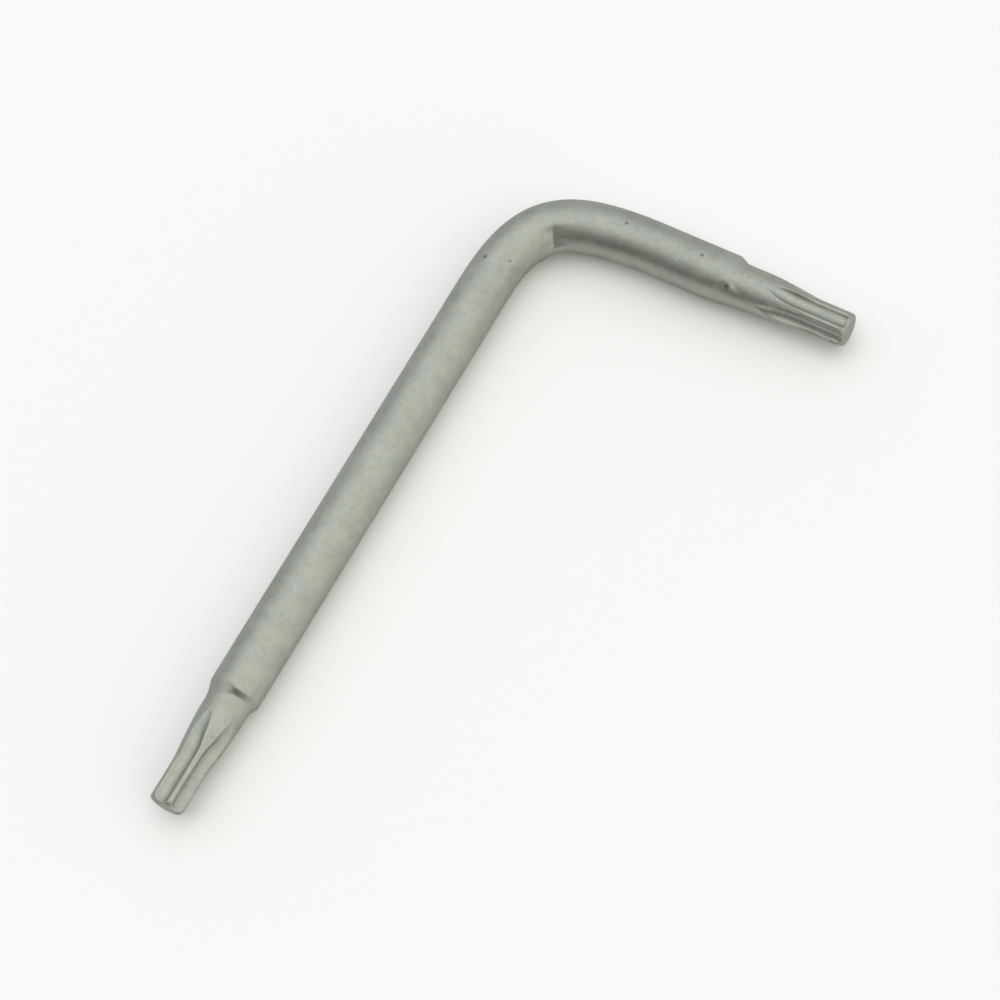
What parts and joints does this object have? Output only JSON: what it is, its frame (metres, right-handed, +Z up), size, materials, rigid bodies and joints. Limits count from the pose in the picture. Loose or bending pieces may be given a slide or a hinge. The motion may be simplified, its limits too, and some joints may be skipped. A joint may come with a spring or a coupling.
{
  "type": "star key",
  "caption": "L-shaped star key: a bent round steel bar with a six-lobe star tip, round neck and conical shoulder at the end of each arm.",
  "frame": {"origin": "middle of the underside of the key's box, as it lies flat on a surface", "axes": "+Y along the long arm from its tip to the bend, +X along the short arm from the bend to its tip, +Z up through the bar"},
  "size_m": [0.043, 0.085, 0.006],
  "materials": {
    "bar_steel": "satin tumbled grey steel"
  },
  "bodies": {
    "root": {"long_star_tip": "bar_steel", "long_arm": "bar_steel", "bend": "bar_steel", "short_arm": "bar_steel", "short_star_tip": "bar_steel"}
  },
  "joints": []
}
